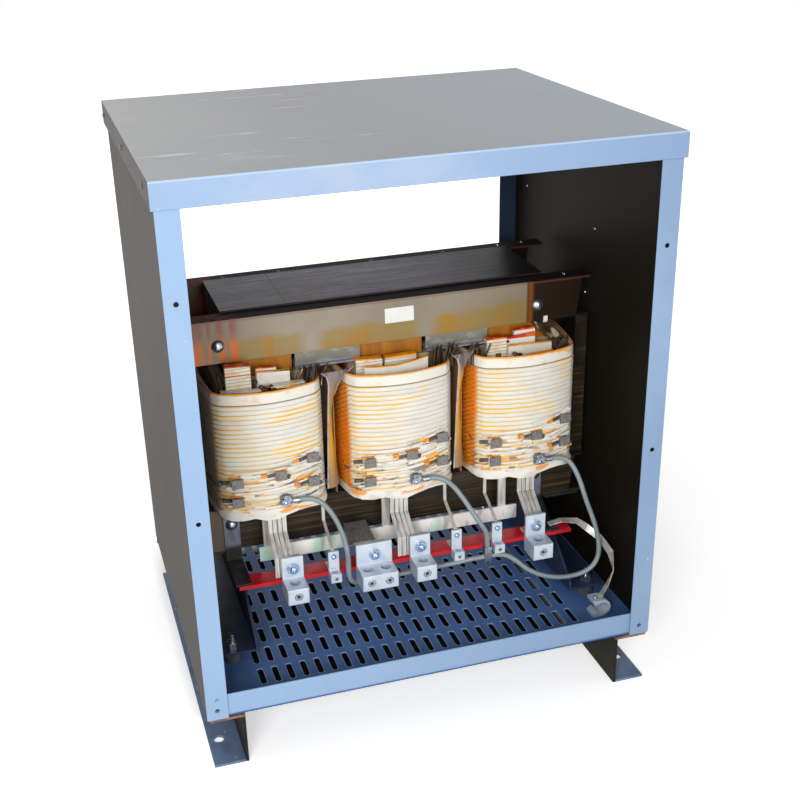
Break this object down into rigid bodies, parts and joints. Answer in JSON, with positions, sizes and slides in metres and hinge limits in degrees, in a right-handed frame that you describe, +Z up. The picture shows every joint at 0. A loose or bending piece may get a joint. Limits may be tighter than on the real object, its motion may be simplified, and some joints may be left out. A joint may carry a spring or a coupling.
{
  "type": "dry-type three-phase power transformer in an open cabinet",
  "caption": "Ventilated dry-type power transformer: three wound coils on a laminated core in a sheet-metal cabinet with its front and back covers off.",
  "frame": {"origin": "on the floor under the middle of the cabinet's outline", "axes": "+X to the right and -Y to the front as one faces the open front, +Z up"},
  "size_m": [0.7184, 0.5974, 0.882],
  "materials": {
    "cabinet_paint": "satin pale blue enamel",
    "lid_paint": "grey-blue enamel, scratched",
    "floor_paint": "blue enamel",
    "foot_steel": "dark paint with rust at the edges",
    "core_varnish": "dark glossy varnish over sheet steel",
    "clamp_steel": "bare steel with varnish runs",
    "clamp_dark": "dark varnish",
    "stand_paint": "dark blue paint",
    "bolt_zinc": "zinc plated",
    "rubber": "matt",
    "wound_strap": "paper covered strap with amber varnish",
    "inner_strap": "paper covered strap with amber varnish",
    "insulation": "varnished pressboard",
    "channel_board": "grey insulating board",
    "barrier_sheet": "amber varnished sheet",
    "tab_metal": "dull",
    "board_red": "red glass-filled sheet",
    "lug_metal": "tin plated",
    "strip_metal": "bare rolled strip",
    "bar_metal": "tin plated",
    "cable_sheath": "soft grey sheath",
    "plate_white": "blank plate"
  },
  "bodies": {
    "root": {"lid": "lid_paint", "left_side_panel": "cabinet_paint", "right_side_panel": "cabinet_paint", "floor_plate": "floor_paint", "front_sill": "cabinet_paint", "rear_sill": "cabinet_paint", "left_foot": "foot_steel", "right_foot": "foot_steel", "bottom_yoke": "core_varnish", "top_yoke": "core_varnish", "core_legs": "core_varnish", "upper_front_clamp": "clamp_steel", "upper_rear_clamp": "clamp_steel", "lower_front_clamp": "clamp_dark", "lower_rear_clamp": "clamp_dark", "clamp_bolts": "bolt_zinc", "tie_bars": "clamp_dark", "left_core_stand": "stand_paint", "right_core_stand": "stand_paint", "vibration_pads": "rubber", "mount_bolts": "bolt_zinc", "left_outer_winding": "wound_strap", "middle_outer_winding": "wound_strap", "right_outer_winding": "wound_strap", "inner_windings": "inner_strap", "duct_sticks": "insulation", "phase_barriers": "barrier_sheet", "end_blocks": "insulation", "yoke_channels": "channel_board", "tap_tabs": "tab_metal", "terminal_board": "board_red", "board_straps": "clamp_dark", "left_line_lug": "lug_metal", "double_lug": "lug_metal", "middle_line_lug": "lug_metal", "right_line_lug": "lug_metal", "small_lugs": "lug_metal", "lug_brackets": "strip_metal", "secondary_leads": "strip_metal", "neutral_leads": "strip_metal", "primary_leads": "strip_metal", "neutral_bar": "bar_metal", "neutral_link": "tab_metal", "star_point": "bolt_zinc", "jumper_rings": "bolt_zinc", "left_jumper": "cable_sheath", "middle_jumper": "cable_sheath", "right_jumper": "cable_sheath", "ground_lug": "lug_metal", "ground_strap": "strip_metal", "data_plate": "plate_white"}
  },
  "joints": []
}
